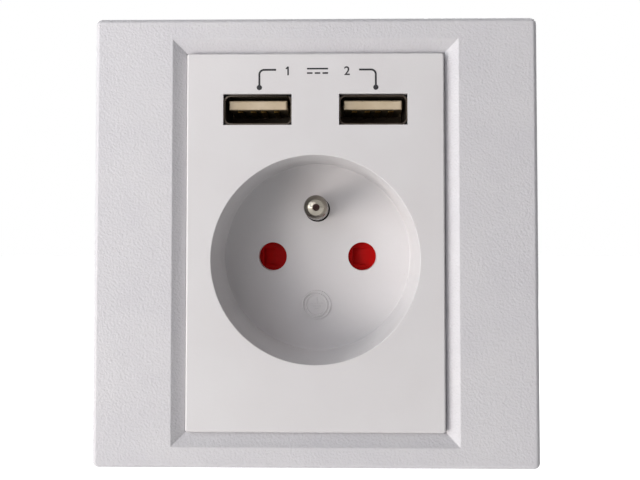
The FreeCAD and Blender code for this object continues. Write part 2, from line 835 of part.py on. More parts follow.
def make_contact_carrier():
    """The moulded block with a well for each contact and a slot for the earth strap."""
    body = new_body("contact_carrier")
    sketch = facing(body, "housing_floor", z="-cup_drop")
    centred(sketch, "2 * carrier_half", "carrier_tall")
    pad(body, sketch, "pocket_back - housing_floor")
    sketch = facing(body, "pocket_back", z="-cup_drop")
    for side in (-1, 1):
        middle = f"{side} * pin_apart / 2"
        tail = "(tail_wide / 2 + tail_gap)"
        corners = [
            (f"{middle} - well_wide / 2", "well_tall / 2"),
            (f"{middle} - well_wide / 2", "-well_tall / 2"),
            (f"{middle} - {tail}", "-well_tall / 2"),
            (f"{middle} - {tail}", "-carrier_tall / 2 - carrier_edge"),
            (f"{middle} + {tail}", "-carrier_tall / 2 - carrier_edge"),
            (f"{middle} + {tail}", "-well_tall / 2"),
            (f"{middle} + well_wide / 2", "-well_tall / 2"),
            (f"{middle} + well_wide / 2", "well_tall / 2"),
        ]
        outline(sketch, corners)
    pocket(body, sketch, "pocket_back - well_floor")
    sketch = facing(body, "pocket_back", z="-cup_drop")
    centred(sketch, "strap_wide + 2 * tail_gap", "carrier_tall + 2 * carrier_edge")
    pocket(body, sketch, "pocket_back + strap_level + strap_thick + tail_gap")


def make_contact(label, side):
    """A folded brass clip: two sprung leaves on a base, and a tail down to its terminal."""
    body = new_body(label)
    sketch = seen_from_above(body, "-cup_drop", f"{side} * pin_apart / 2")
    back = "-well_floor"
    front = "(contact_mouth - pocket_back)"
    grip = f"({front} + contact_throat)"
    right = [
        ("contact_base", back),
        ("contact_grip + contact_thick", grip),
        ("contact_grip + contact_flare + contact_thick", front),
        ("contact_grip + contact_flare", front),
        ("contact_grip", grip),
        ("contact_base - contact_thick", f"{back} - contact_thick"),
    ]
    left = [(f"-({x})", y) for x, y in reversed(right)]
    outline(sketch, right + left)
    pad(body, sketch, "contact_tall", middle=True)
    sketch = facing(body, "well_floor", f"{side} * pin_apart / 2")
    rectangle(sketch, "-tail_wide / 2", "cage_top", "tail_wide / 2", "-cup_drop")
    pad(body, sketch, "contact_thick")


def make_earth_strap():
    """The bent brass strip from the earth pin down to its terminal."""
    body = new_body("earth_strap")
    sketch = seen_from_right(body, "0")
    top = "earth_high + strap_margin"
    profile = [
        ("strap_level", top),
        ("strap_level + strap_thick", top),
        ("strap_level + strap_thick", "cage_top + strap_thick"),
        ("strap_level + strap_foot", "cage_top + strap_thick"),
        ("strap_level + strap_foot", "cage_top"),
        ("strap_level", "cage_top"),
    ]
    outline(sketch, profile)
    pad(body, sketch, "strap_wide", middle=True)
    sketch = facing(body, "-strap_level")
    circle(sketch, "rivet_across + 2 * screw_clear", "0", "earth_high")
    cut_through(body, sketch)


def make_terminal(label, place):
    """A brass cage with a wire hole from behind and a threaded hole from below."""
    body = new_body(label)
    sketch = facing(body, "housing_floor", f"{place} * terminal_apart", "-terminal_drop")
    centred(sketch, "cage_wide", "cage_tall")
    centred(sketch, "wire_hole_across", "wire_hole_across")
    pad(body, sketch, "cage_deep")
    sketch = seen_from_above(body, "-terminal_drop", f"{place} * terminal_apart")
    circle(sketch, "clamp_across + 2 * clamp_clear", "0", "-clamp_middle")
    cut_through(body, sketch)


def make_clamp_screw(label, place):
    """A terminal screw: shank up into the cage and a slotted head below it."""
    body = new_body(label)
    middle = f"{place} * terminal_apart"
    sketch = seen_from_above(body, "cage_low", middle)
    circle(sketch, "clamp_across", "0", "-clamp_middle")
    pad(body, sketch, "cage_tall / 2 - wire_hole_across / 2 + clamp_reach")
    sketch = seen_from_above(body, "cage_low", middle)
    circle(sketch, "clamp_head_across", "0", "-clamp_middle")
    pad(body, sketch, "clamp_head_thick", back=True)
    sketch = seen_from_above(body, "cage_low - clamp_head_thick", middle)
    low = "-clamp_middle - clamp_slot_wide / 2"
    high = "-clamp_middle + clamp_slot_wide / 2"
    rectangle(sketch, "-clamp_head_across", low, "clamp_head_across", high)
    pocket(body, sketch, "clamp_slot_deep", forward=True)


def make_housing_screw(label, side, rise):
    """A long screw from the back of the housing into a boss behind the recess."""
    body = new_body(label)
    x = f"{side} * boss_side"
    z = f"{rise} * boss_rise - cup_drop"
    sketch = facing(body, "-housing_deep", x, z)
    circle(sketch, "screw_across")
    pad(body, sketch, "screw_end + housing_deep")
    sketch = facing(body, "-housing_deep", x, z)
    circle(sketch, "screw_head_across")
    pad(body, sketch, "screw_head_thick", back=True)
    for wide, tall in (("drive_long", "drive_wide"), ("drive_wide", "drive_long")):
        sketch = facing(body, "-housing_deep - screw_head_thick", x, z)
        centred(sketch, wide, tall)
        pocket(body, sketch, "drive_deep", forward=True)


def make_usb_shell(label, side):
    """The folded steel shell of a port, open at the front, with spring slots."""
    body = new_body(label)
    middle = f"{side} * usb_apart / 2"
    sketch = facing(body, "shell_end", middle, "usb_rise")
    centred(sketch, "shell_wide", "shell_tall")
    pad(body, sketch, "shell_long")
    rounded(body, "shell_corner", runs_deep, "PartDesign::Chamfer")
    doc.recompute()
    block = body.Tip
    middles = [face.CenterOfMass.y for face in block.Shape.Faces]
    ends = [middles.index(min(middles)), middles.index(max(middles))]
    shell = body.newObject("PartDesign::Thickness", "port_shell")
    shell.Base = (block, [f"Face{number + 1}" for number in ends])
    shell.setExpression("Value", bound("shell_wall"))
    shell.Reversed = True
    shell.Join = 0
    sketch = seen_from_above(body, "usb_rise + shell_tall", middle)
    near = "spring_slot_back - shell_mouth"
    far = "spring_slot_back + spring_slot_long - shell_mouth"
    for offset in (-1, 1):
        left = f"{offset} * spring_slot_apart / 2 - spring_slot_wide / 2"
        right = f"{offset} * spring_slot_apart / 2 + spring_slot_wide / 2"
        rectangle(sketch, left, near, right, far)
    pocket(body, sketch, "shell_tall")


def make_usb_tongue(label, side):
    """The cream insulator of a port: a block at the back and a tongue towards the mouth."""
    body = new_body(label)
    middle = f"{side} * usb_apart / 2"
    inner = "(2 * shell_wall + 2 * block_gap)"
    sketch = facing(body, "shell_end + block_gap", middle, "usb_rise")
    centred(sketch, f"shell_wide - {inner}", f"shell_tall - {inner}")
    pad(body, sketch, "block_thick")
    rounded(body, "shell_corner - shell_wall", runs_deep, "PartDesign::Chamfer")
    sketch = facing(body, "block_front", middle, "usb_rise + tongue_lift")
    centred(sketch, "tongue_wide", "tongue_thick")
    pad(body, sketch, "tongue_front - block_front")
    rounded(body, "tongue_edge", on_front(body), "PartDesign::Chamfer")


def make_usb_contacts(label, side):
    """The four bowed leaves under the tongue of a port."""
    body = new_body(label)
    body.AllowCompound = True
    for offset in ("-leaf_outer", "-leaf_inner", "leaf_inner", "leaf_outer"):
        sketch = seen_from_right(body, f"{side} * usb_apart / 2 + {offset}")
        back = "-block_front"
        front = "leaf_sink - tongue_front"
        bend = f"({back} + {front}) / 2"
        low = "tongue_low - leaf_bow"
        profile = [
            (back, "tongue_low"),
            (front, "tongue_low"),
            (front, "tongue_low - leaf_thick"),
            (f"{bend} - leaf_wide", low),
            (f"{bend} + leaf_wide", low),
            (back, "tongue_low - leaf_thick"),
        ]
        outline(sketch, profile)
        pad(body, sketch, "leaf_wide", middle=True)


def make_usb_board():
    """The circuit board under the ports, wide in the cover and narrow in the housing."""
    body = new_body("usb_board")
    sketch = seen_from_above(body, "board_low")
    front = "board_front_gap - cover_inner + board_thick"
    step = "-support_thick - board_front_gap"
    corners = [
        ("-board_front_wide / 2", front),
        ("board_front_wide / 2", front),
        ("board_front_wide / 2", step),
        ("board_rear_wide / 2", step),
        ("board_rear_wide / 2", "board_rear_long"),
        ("-board_rear_wide / 2", "board_rear_long"),
        ("-board_rear_wide / 2", step),
        ("-board_front_wide / 2", step),
    ]
    outline(sketch, corners)
    pad(body, sketch, "board_thick")


def make_transformer():
    """The ferrite core with its two windows, and the wound bobbin round its middle leg."""
    core = new_body("transformer_core")
    sketch = seen_from_above(core, "core_middle")
    rectangle(sketch, "-core_wide / 2", "core_level", "core_wide / 2", "core_level + core_long")
    for side in (-1, 1):
        near = f"{side} * core_leg / 2"
        far = f"{side} * (core_wide / 2 - core_side)"
        rectangle(sketch, near, "core_level + core_yoke", far, "core_level + core_long - core_yoke")
    pad(core, sketch, "core_tall", middle=True)
    bobbin = new_body("transformer_bobbin")
    sketch = facing(bobbin, "-core_level - core_yoke - bobbin_gap")
    rectangle(sketch, "-bobbin_half", "bobbin_low", "bobbin_half", "board_low")
    inner = "core_leg / 2 + bobbin_gap"
    low = "core_middle - core_tall / 2 - bobbin_gap"
    high = "core_middle + core_tall / 2 + bobbin_gap"
    rectangle(sketch, f"-({inner})", low, inner, high)
    pad(bobbin, sketch, "core_long - 2 * core_yoke - 2 * bobbin_gap", back=True)


def make_can(label, across, long, level):
    """A can capacitor that hangs from the board."""
    body = new_body(label)
    sketch = seen_from_above(body, "board_low")
    circle(sketch, across, "part_side", level)
    pad(body, sketch, long, back=True)


def make_chip():
    """The controller chip between the ports."""
    body = new_body("controller_chip")
    sketch = seen_from_above(body, "board_top")
    rectangle(sketch, "-chip_wide / 2", "-chip_level - chip_long", "chip_wide / 2", "-chip_level")
    pad(body, sketch, "chip_thick")
    doc.recompute()
    high = body.Tip.Shape.BoundBox.ZMax
    top = lambda edge: edge.BoundBox.ZMin > high - 0.001
    rounded(body, "chip_edge", top, "PartDesign::Chamfer")


def make_leads(body, level, across):
    """Two short legs between a hanging component and the board."""
    sketch = seen_from_above(body, "board_low")
    for end in (-1, 1):
        near = f"{level} + {end} * lead_apart / 2 - lead_across / 2"
        left = "-part_side - lead_across / 2"
        rectangle(sketch, left, near, "lead_across / 2 - part_side", f"{near} + lead_across")
    pad(body, sketch, f"lead_long + ({across}) / 2", back=True)


def make_fuse():
    """The fusible resistor, lying along the board on its two leads."""
    body = new_body("fuse_resistor")
    middle = "board_low - lead_long - fuse_across / 2"
    sketch = facing(body, "-fuse_level - fuse_long / 2", "-part_side", middle)
    circle(sketch, "fuse_across")
    pad(body, sketch, "fuse_long")
    make_leads(body, "fuse_level", "fuse_across")


def make_disc():
    """The disc capacitor that stands across the board on its two leads."""
    body = new_body("suppression_capacitor")
    sketch = seen_from_right(body, "-part_side", "board_low - lead_long - disc_across / 2")
    circle(sketch, "disc_across", "disc_level")
    pad(body, sketch, "disc_thick", middle=True)
    make_leads(body, "disc_level", "disc_across")


def make_wire(label, side):
    """An insulated wire from a terminal up the side of the housing to the board."""
    route = [
        ("terminal_apart + cage_wide / 2", "cage_top - wire_rise"),
        ("wire_side", "cage_top - wire_rise"),
        ("wire_side", "board_low - wire_slope"),
        ("wire_end_side", "board_low - wire_end_drop"),
        ("wire_end_side", "board_low"),
    ]
    marks = [new_mark(label + "_mark", f"{side} * ({x})", "wire_level", z) for x, z in route]
    points = places_of(marks)
    edges = []
    start = points[0]
    for before, corner, after in zip(points, points[1:], points[2:]):
        towards = (before - corner).normalize()
        onward = (after - corner).normalize()
        setback = bend_share * min((before - corner).Length, (after - corner).Length)
        entry = corner + towards * setback
        leave = corner + onward * setback
        radius = setback * math.tan(towards.getAngle(onward) / 2)
        middle = (towards + onward).normalize()
        centre = corner + middle * math.hypot(setback, radius)
        top = centre - middle * radius
        edges.append(Part.LineSegment(start, entry).toShape())
        edges.append(Part.Arc(entry, top, leave).toShape())
        print(label, "bend radius", round(radius, 2))
        start = leave
    edges.append(Part.LineSegment(start, points[-1]).toShape())
    swept(label, Part.Wire(edges), "wire_across")


make_outer_frame()
make_cover_plate()
make_earth_pin()
make_safety_shutter()
make_shutter_housing()
make_shutter_spring()
make_support_frame()
make_rear_housing()
make_contact_carrier()
make_contact("neutral_contact", -1)
make_contact("live_contact", 1)
make_earth_strap()
for name, place in (("neutral", -1), ("earth", 0), ("live", 1)):
    make_terminal(name + "_terminal", place)
    make_clamp_screw(name + "_terminal_screw", place)
for number, (side, rise) in enumerate(four_bosses(), 1):
    make_housing_screw(f"housing_screw_{number}", side, rise)
make_usb_board()
for name, side in (("left", -1), ("right", 1)):
    make_usb_shell("usb_shell_" + name, side)
    make_usb_tongue("usb_tongue_" + name, side)
    make_usb_contacts("usb_contacts_" + name, side)
make_transformer()
make_can("input_capacitor", "input_across", "input_long", "input_level")
make_can("output_capacitor", "output_across", "output_long", "output_level")
make_chip()
make_fuse()
make_disc()
make_wire("usb_wire_neutral", -1)
make_wire("usb_wire_live", 1)

doc.recompute()
for item in doc.Objects:
    if "Invalid" in item.State or "Error" in item.State:
        raise RuntimeError(f"{item.Label} failed: {item.State}")
    if item.TypeId in ("PartDesign::Pocket", "PartDesign::Groove"):
        if item.Shape.Volume > item.BaseFeature.Shape.Volume - 0.001:
            raise RuntimeError(f"{item.Label} cuts nothing")
os.makedirs("parts", exist_ok=True)
for piece in pieces:
    if piece.Shape.isNull() or not piece.Shape.isValid():
        raise RuntimeError(f"{piece.Label} has no valid shape")
    piece.Shape.exportStep(f"parts/{piece.Label}.step")
    print(piece.Label, len(piece.Shape.Solids), round(piece.Shape.Volume, 1))
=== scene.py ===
import json
import math

import bmesh
import bpy
from mathutils import Euler, Matrix, Vector


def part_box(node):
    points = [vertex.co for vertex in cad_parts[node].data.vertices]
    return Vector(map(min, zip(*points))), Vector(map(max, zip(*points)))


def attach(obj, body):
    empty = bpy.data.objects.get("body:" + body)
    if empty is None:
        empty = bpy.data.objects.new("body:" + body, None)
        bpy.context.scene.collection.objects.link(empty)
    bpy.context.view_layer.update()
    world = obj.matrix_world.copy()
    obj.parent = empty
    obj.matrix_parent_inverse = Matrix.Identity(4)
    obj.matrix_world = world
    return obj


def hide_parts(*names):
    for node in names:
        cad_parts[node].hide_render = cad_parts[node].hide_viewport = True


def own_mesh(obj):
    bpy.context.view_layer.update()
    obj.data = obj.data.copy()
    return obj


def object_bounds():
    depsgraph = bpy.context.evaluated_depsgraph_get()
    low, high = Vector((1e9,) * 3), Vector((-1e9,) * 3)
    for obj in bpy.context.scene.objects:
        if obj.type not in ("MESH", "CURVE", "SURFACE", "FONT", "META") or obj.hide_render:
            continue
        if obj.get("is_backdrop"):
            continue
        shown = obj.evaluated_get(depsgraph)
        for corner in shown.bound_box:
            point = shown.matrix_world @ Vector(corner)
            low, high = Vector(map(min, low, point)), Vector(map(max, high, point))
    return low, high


# A white wall socket: a square plate with a bevelled mouth, a flush cover with a round recess,
# an earth pin, red shutters behind the pin holes and two charging ports. Metres, front to -Y.

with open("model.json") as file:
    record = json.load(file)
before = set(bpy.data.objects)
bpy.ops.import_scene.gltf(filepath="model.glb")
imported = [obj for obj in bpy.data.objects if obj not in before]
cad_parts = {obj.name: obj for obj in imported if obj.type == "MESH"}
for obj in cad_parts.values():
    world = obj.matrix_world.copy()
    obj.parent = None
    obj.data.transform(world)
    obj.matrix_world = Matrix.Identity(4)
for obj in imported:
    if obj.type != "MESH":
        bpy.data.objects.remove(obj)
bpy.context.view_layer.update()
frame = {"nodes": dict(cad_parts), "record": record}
nodes = frame["nodes"]
mm = 0.001
near = 0.01 * mm  # depths closer than this count as the same
mergeGap = 0.001 * mm  # corners closer than this are joined
forward = Vector((0, -1, 0))
rightward = Vector((1, 0, 0))
record = frame["record"]
mount = {row["name"]: row for row in record["mounts"]}
slotOf = {row["node"]: row["material_slot"] for row in record["subparts"]}
bodyOf = {node: body for body, held in record["behaviour"]["bodies"].items() for node in held}
pinHole = mount["left_pin_hole"]
floorThick = pinHole["dims"]["length_mm"] * mm
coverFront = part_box("cover_plate")[0].y
floorY = pinHole["pos_m"][1] - floorThick / 2
backY = floorY + floorThick
cupZ = pinHole["pos_m"][2]
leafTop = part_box("usb_contacts_left")[1].z

# Sockets of a node that share a name are picked by their number
mixShare, mixUnder, mixOver, mixResult = 0, 6, 7, 2
firstValue, secondValue = 0, 1
noiseLow, noiseHigh = 0.3, 0.7  # most of a noise lies between these


def toLinear(hexColour):
    # sRGB hex to the linear colour that shaders use
    parts = [int(hexColour[i:i + 2], 16) / 255 for i in (1, 3, 5)]
    curve = [p / 12.92 if p <= 0.04045 else ((p + 0.055) / 1.055) ** 2.4 for p in parts]
    return (*curve, 1)


def addNode(tree, kind, settings=None, links=None):
    # one shader node with its settings and the sockets that feed it
    node = tree.nodes.new(kind)
    for name, value in (settings or {}).items():
        if isinstance(name, int) or name in node.inputs:
            node.inputs[name].default_value = value
        else:
            setattr(node, name, value)
    for name, socket in (links or {}).items():
        tree.links.new(socket, node.inputs[name])
    return node


def startMaterial(name):
    # an empty material with its shader, output and object coordinates
    material = bpy.data.materials.new(name)
    material.use_nodes = True
    tree = material.node_tree
    tree.nodes.clear()
    shader = addNode(tree, "ShaderNodeBsdfPrincipled")
    addNode(tree, "ShaderNodeOutputMaterial", links={"Surface": shader.outputs["BSDF"]})
    place = addNode(tree, "ShaderNodeTexCoord").outputs["Object"]
    return material, tree, shader, place


def varied(tree, place, size, low, high, detail=2.0):
    # a soft noise of that size in millimetres, spread between two numbers
    noise = addNode(
        tree, "ShaderNodeTexNoise", {"Scale": 1 / (size * mm), "Detail": detail}, {"Vector": place}
    )
    spread = {"From Min": noiseLow, "From Max": noiseHigh, "To Min": low, "To Max": high}
    return addNode(tree, "ShaderNodeMapRange", spread, {"Value": noise.outputs["Fac"]}).outputs["Result"]


def specks(tree, place, apart, size):
    # 1 on small round specks with a soft rim, set about that many millimetres apart
    cells = addNode(tree, "ShaderNodeTexVoronoi", {"Scale": 1 / (apart * mm)}, {"Vector": place})
    rim = size / apart
    limits = {"From Min": rim / 2, "From Max": rim, "To Min": 1.0, "To Max": 0.0}
    fade = addNode(tree, "ShaderNodeMapRange", limits, {"Value": cells.outputs["Distance"]})
    return fade.outputs["Result"]


def fadeAlong(tree, place, axis, start, end):
    # 0 on one side of the start, 1 on the far side of the end
    along = addNode(tree, "ShaderNodeSeparateXYZ", links={"Vector": place}).outputs[axis]
    limits = {"From Min": start, "From Max": end}
    return addNode(tree, "ShaderNodeMapRange", limits, {"Value": along}).outputs["Result"]


def layColours(tree, shader, ground, layers):
    # a ground colour with others laid over it: each one's share of the surface, and its hex colour
    under = None
    for share, colour in layers:
        colours = {"data_type": "RGBA", mixUnder: toLinear(ground), mixOver: toLinear(colour)}
        mix = addNode(tree, "ShaderNodeMix", colours, {mixShare: share})
        if under:
            tree.links.new(under, mix.inputs[mixUnder])
        under = mix.outputs[mixResult]
    tree.links.new(under, shader.inputs["Base Color"])


def layRelief(tree, shader, heights):
    # bumps laid one over another: height socket, strength and depth in millimetres
    under = None
    for height, strength, deep in heights:
        settings = {"Strength": strength, "Distance": deep * mm}
        bump = addNode(tree, "ShaderNodeBump", settings, {"Height": height})
        if under:
            tree.links.new(under, bump.inputs["Normal"])
        under = bump.outputs["Normal"]
    tree.links.new(under, shader.inputs["Normal"])


# What all mouldings share, in millimetres where it is a size
plasticLook = dict(
    index=1.5, glossier=0.04, duller=0.05, glossShare=1 / 3, grainDetail=3.0, rippleDeep=0.02,
    # the colour that fades in below a height, with its fade in millimetres, is painted shade
    dustSize=0.35, dustColour="#c2bcb6", underShadeColour="#463d2d", underShadeFrom=0.15, underShadeTo=0.05,
)


def mouldedPlastic(
    name, colour, shade, mottle, rough, grain, deep, dustApart=0, ripple=0, gloss=0.5, underShadeTop=None
):
    # mottled colour, grain from the steel of the mould, a long ripple, a little dust, and painted shade
    # below a given height
    material, tree, shader, place = startMaterial(name)
    layers = [(varied(tree, place, mottle, 0, 1), shade)]
    if dustApart:
        share = specks(tree, place, dustApart, plasticLook["dustSize"])
        layers.append((share, plasticLook["dustColour"]))
    if underShadeTop is not None:  # painted shade: darker underneath that height, under the tongue beside the contacts
        start = underShadeTop + plasticLook["underShadeFrom"] * mm
        end = underShadeTop + plasticLook["underShadeTo"] * mm
        layers.append((fadeAlong(tree, place, "Z", start, end), plasticLook["underShadeColour"]))
    layColours(tree, shader, colour, layers)
    shader.inputs["IOR"].default_value = plasticLook["index"]
    shader.inputs["Specular IOR Level"].default_value = gloss
    glossy = rough - plasticLook["glossier"]
    dull = rough + plasticLook["duller"]
    shineSize = mottle * plasticLook["glossShare"]
    tree.links.new(varied(tree, place, shineSize, glossy, dull), shader.inputs["Roughness"])
    heights = [(varied(tree, place, grain, 0, 1, plasticLook["grainDetail"]), 1.0, deep)]
    if ripple:
        heights.append((varied(tree, place, ripple, 0, 1), 1.0, plasticLook["rippleDeep"]))
    layRelief(tree, shader, heights)
    return material


# What all metals share, in millimetres where it is a size
metalLook = dict(
    detail=4.0, glossier=0.06, duller=0.1, streakStrength=0.4, crystalColour="#7e8488", crystalShare=0.5,
    # the colour laid behind a depth, and how far it fades in, are painted shade
    gapShadeColour="#1c1712", gapShadeLong=0.4,
)


def workedMetal(name, colour, shade, cloud, rough, pull, streak, deep, crystal=0, gapShadeFrom=None):
    # streaks from rolling, drawing or turning, a plating that is a little uneven, and painted shade behind
    # a given depth
    material, tree, shader, place = startMaterial(name)
    shader.inputs["Metallic"].default_value = 1.0
    detail = metalLook["detail"]
    layers = [(varied(tree, place, cloud, 0, 1, detail), shade)]
    if crystal:  # crystals of the zinc
        cells = addNode(tree, "ShaderNodeTexVoronoi", {"Scale": 1 / (crystal * mm)}, {"Vector": place})
        grey = addNode(tree, "ShaderNodeSeparateColor", links={"Color": cells.outputs["Color"]})
        limits = {"To Min": 0.0, "To Max": metalLook["crystalShare"]}
        share = addNode(tree, "ShaderNodeMapRange", limits, {"Value": grey.outputs["Red"]})
        layers.append((share.outputs["Result"], metalLook["crystalColour"]))
    if gapShadeFrom is not None:  # painted shade: dark brown behind that depth, where the pin sits in the gap of its hole
        end = gapShadeFrom + metalLook["gapShadeLong"] * mm
        layers.append((fadeAlong(tree, place, "Y", gapShadeFrom, end), metalLook["gapShadeColour"]))
    layColours(tree, shader, colour, layers)
    pulled = addNode(tree, "ShaderNodeMapping", {"Scale": pull}, {"Vector": place}).outputs["Vector"]
    streaks = varied(tree, pulled, streak, 0, 1, detail)
    glossy = rough - metalLook["glossier"]
    dull = rough + metalLook["duller"]
    tree.links.new(varied(tree, pulled, streak, glossy, dull, detail), shader.inputs["Roughness"])
    layRelief(tree, shader, [(streaks, metalLook["streakStrength"], deep)])
    return material


# Sizes and depths of the finish in millimetres, and where painted shade begins as places in metres.
# Fine grain is drawn as coarse as it shows in a close picture.
finishes = {
    # polycarbonate, moulded in a spark-eroded tool: a dull, sandy white with bumps 0.5 to 1 mm wide
    "frame_white": mouldedPlastic(
        "erodedPolycarbonate", "#d1d0d3", "#cdccd0", mottle=9, rough=0.5, grain=0.45, deep=0.052),
    # polycarbonate, moulded in a stoned tool: smooth and satin, with a long weak ripple and some dust
    "cover_white": mouldedPlastic(
        "satinPolycarbonate", "#dad9da", "#d7d5d6", mottle=14, rough=0.36, grain=0.5, deep=0.006,
        dustApart=13, ripple=12),
    # polyamide, coloured through and moulded in a polished tool: deep red with little glare
    "shutter_red": mouldedPlastic(
        "polishedRedPolyamide", "#bc0a0a", "#a80808", mottle=3, rough=0.4, grain=0.5, deep=0.006,
        gloss=0.08),
    # glass-filled polyamide, moulded: chalky, with faint flow marks
    "inner_white": mouldedPlastic(
        "glassFilledPolyamide", "#cfcdc4", "#bfbdb2", mottle=6, rough=0.55, grain=0.5, deep=0.03),
    # polyamide, moulded in an eroded tool: a plain technical grey with flow clouds
    "housing_grey": mouldedPlastic(
        "greyPolyamide", "#a6a9ab", "#999c9f", mottle=8, rough=0.48, grain=0.7, deep=0.05, ripple=20),
    # liquid crystal polymer, moulded: a dry cream, with painted shade under the tongue
    "port_cream": mouldedPlastic(
        "creamPolymer", "#c4b59c", "#b7a78c", mottle=3, rough=0.5, grain=0.25, deep=0.01,
        underShadeTop=leafTop),
    # glass laminate under solder lacquer: glossy green, weave just showing
    "board_green": mouldedPlastic(
        "lacqueredLaminate", "#1f5a2f", "#194c27", mottle=1.2, rough=0.3, grain=0.4, deep=0.01),
    # manganese-zinc ferrite, pressed and sintered: dark, dry and finely pitted
    "core_ferrite": mouldedPlastic(
        "sinteredFerrite", "#2e2e30", "#242426", mottle=1.5, rough=0.6, grain=0.2, deep=0.03),
    # polyester tape, wound over the coil: yellow and slick
    "bobbin_yellow": mouldedPlastic(
        "woundPolyesterTape", "#d6ab28", "#c2981f", mottle=2, rough=0.3, grain=0.5, deep=0.02),
    # sleeve, shrunk over a can: smooth near-black
    "can_black": mouldedPlastic(
        "shrunkSleeve", "#1e222b", "#171a21", mottle=2, rough=0.32, grain=0.4, deep=0.01),
    # epoxy moulding compound: matt black
    "chip_black": mouldedPlastic(
        "mouldedEpoxy", "#1b1b1b", "#141414", mottle=1, rough=0.6, grain=0.2, deep=0.01),
    # cement coat, dipped: pale grey-green and dull
    "fuse_grey": mouldedPlastic(
        "dippedCement", "#7d8c80", "#6f7e72", mottle=1, rough=0.7, grain=0.2, deep=0.03),
    # epoxy coat on a ceramic disc, dipped: blue with a soft gloss
    "disc_blue": mouldedPlastic(
        "dippedEpoxy", "#2a5ba8", "#224d92", mottle=1.5, rough=0.35, grain=0.5, deep=0.02),
    # vinyl insulation, extruded: soft sheen along the wire
    "wire_blue": mouldedPlastic(
        "blueVinyl", "#24509e", "#1d4388", mottle=3, rough=0.42, grain=0.3, deep=0.01),
    "wire_brown": mouldedPlastic(
        "brownVinyl", "#5f3a24", "#52301d", mottle=3, rough=0.42, grain=0.3, deep=0.01),
    # nickel-plated brass, turned: warm silver with fine rings, with painted shade behind the recess floor
    "pin_nickel": workedMetal(
        "turnedNickel", "#99948a", "#868076", cloud=3, rough=0.12, pull=(0.15, 6, 0.15), streak=0.7,
        deep=0.002, gapShadeFrom=floorY),
    # galvanised sheet, rolled: grey zinc crystals under long rolling marks
    "support_steel": workedMetal(
        "rolledZincSheet", "#aeb2b5", "#979ca0", cloud=5, rough=0.36, pull=(0.2, 1, 3), streak=0.8,
        deep=0.006, crystal=5),
    # spring wire, drawn: dark, with a fine uneven surface
    "spring_steel": workedMetal(
        "drawnSpringWire", "#8f8f8c", "#777773", cloud=2, rough=0.3, pull=(1, 1, 1), streak=0.3,
        deep=0.003),
    # zinc-plated screws, cold headed: bright grey with a little blue
    "screw_steel": workedMetal(
        "platedScrewSteel", "#b3b6b8", "#9a9da2", cloud=1.5, rough=0.32, pull=(1, 1, 1), streak=0.6,
        deep=0.004),
    # spring brass strip, stamped: yellow with rolling marks
    "contact_brass": workedMetal(
        "stampedBrass", "#c9a862", "#b48f49", cloud=3, rough=0.3, pull=(3, 1, 0.3), streak=0.5,
        deep=0.004),
    # free-cutting brass, milled: yellow with sharper marks
    "terminal_brass": workedMetal(
        "milledBrass", "#c2a462", "#ab8c4a", cloud=3, rough=0.28, pull=(0.3, 4, 1), streak=0.5,
        deep=0.005),
    # nickel-plated sheet, stamped and folded: brownish grey, slightly brushed
    "port_steel": workedMetal(
        "foldedNickelSheet", "#7c766c", "#69635a", cloud=2, rough=0.34, pull=(1, 0.2, 3), streak=0.4,
        deep=0.003),
    # gold flash over spring bronze, stamped: a yellow darkened into painted shade, for the leaves lie in
    # shade inside the port
    "leaf_gold": workedMetal(
        "goldFlashedBronze", "#6a552c", "#523f1f", cloud=1.5, rough=0.36, pull=(3, 0.4, 1), streak=0.3,
        deep=0.002),
}
# pad-printed ink: charcoal, dry, a little thin in places
printInk = mouldedPlastic(
    "padPrintedInk", "#17171b", "#242429", mottle=0.8, rough=0.6, grain=0.3, deep=0.004)

for node, piece in nodes.items():
    piece.data.materials.clear()
    piece.data.materials.append(finishes[slotOf[node]])
print("finishes:", len(finishes))

smoothBelow = 40  # degrees between faces that shade as one
flatBelow = 0.3  # degrees between faces that count as one flat face


def finishPiece(name, mesh, slotName, body, standsFor=(), material=None):
    # a mesh becomes a closed, smooth-shaded piece that rides on its body
    bmesh.ops.recalc_face_normals(mesh, faces=mesh.faces)
    data = bpy.data.meshes.new(name)
    mesh.to_mesh(data)
    mesh.free()
    data.materials.append(material or finishes[slotName])
    data.shade_smooth()
    data.set_sharp_from_angle(angle=math.radians(smoothBelow))
    piece = bpy.data.objects.new(name, data)
    bpy.context.scene.collection.objects.link(piece)
    weighted = piece.modifiers.new("flats", "WEIGHTED_NORMAL")
    weighted.keep_sharp = True
    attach(piece, body)
    if standsFor:
        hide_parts(*standsFor)
    return piece


def bevelEdges(mesh, edges, radius, segments=3):
    bmesh.ops.bevel(
        mesh, geom=edges, offset=radius * mm, offset_type="OFFSET", segments=segments,
        profile=0.5, affect="EDGES", material=-1, clamp_overlap=True,
    )


def middleOf(edge):
    return (edge.verts[0].co + edge.verts[1].co) / 2


def corners(mesh, above=25):
    # edges where two faces meet at more than that many degrees
    limit = math.radians(above)
    return [e for e in mesh.edges if e.is_manifold and e.calc_face_angle() > limit]


def newVerts(made):
    # the vertices among what an operator made
    return [v for v in made if isinstance(v, bmesh.types.BMVert)]


def newEdges(made):
    # the edges among what an operator made
    return [e for e in made if isinstance(e, bmesh.types.BMEdge)]


def mergedCopy(node):
    # the node's loose triangles, joined up and with its flat faces cleared
    mesh = bmesh.new()
    mesh.from_mesh(nodes[node].data)
    bmesh.ops.remove_doubles(mesh, verts=mesh.verts, dist=2 * mergeGap)
    bmesh.ops.dissolve_limit(
        mesh, angle_limit=math.radians(flatBelow), verts=mesh.verts, edges=mesh.edges
    )
    return mesh


def softened(name, node, radius, segments=2, above=25):
    # a node's own form with every corner broken by a small round
    mesh = mergedCopy(node)
    bevelEdges(mesh, corners(mesh, above), radius, segments)
    return finishPiece(name, mesh, slotOf[node], bodyOf[node], [node])


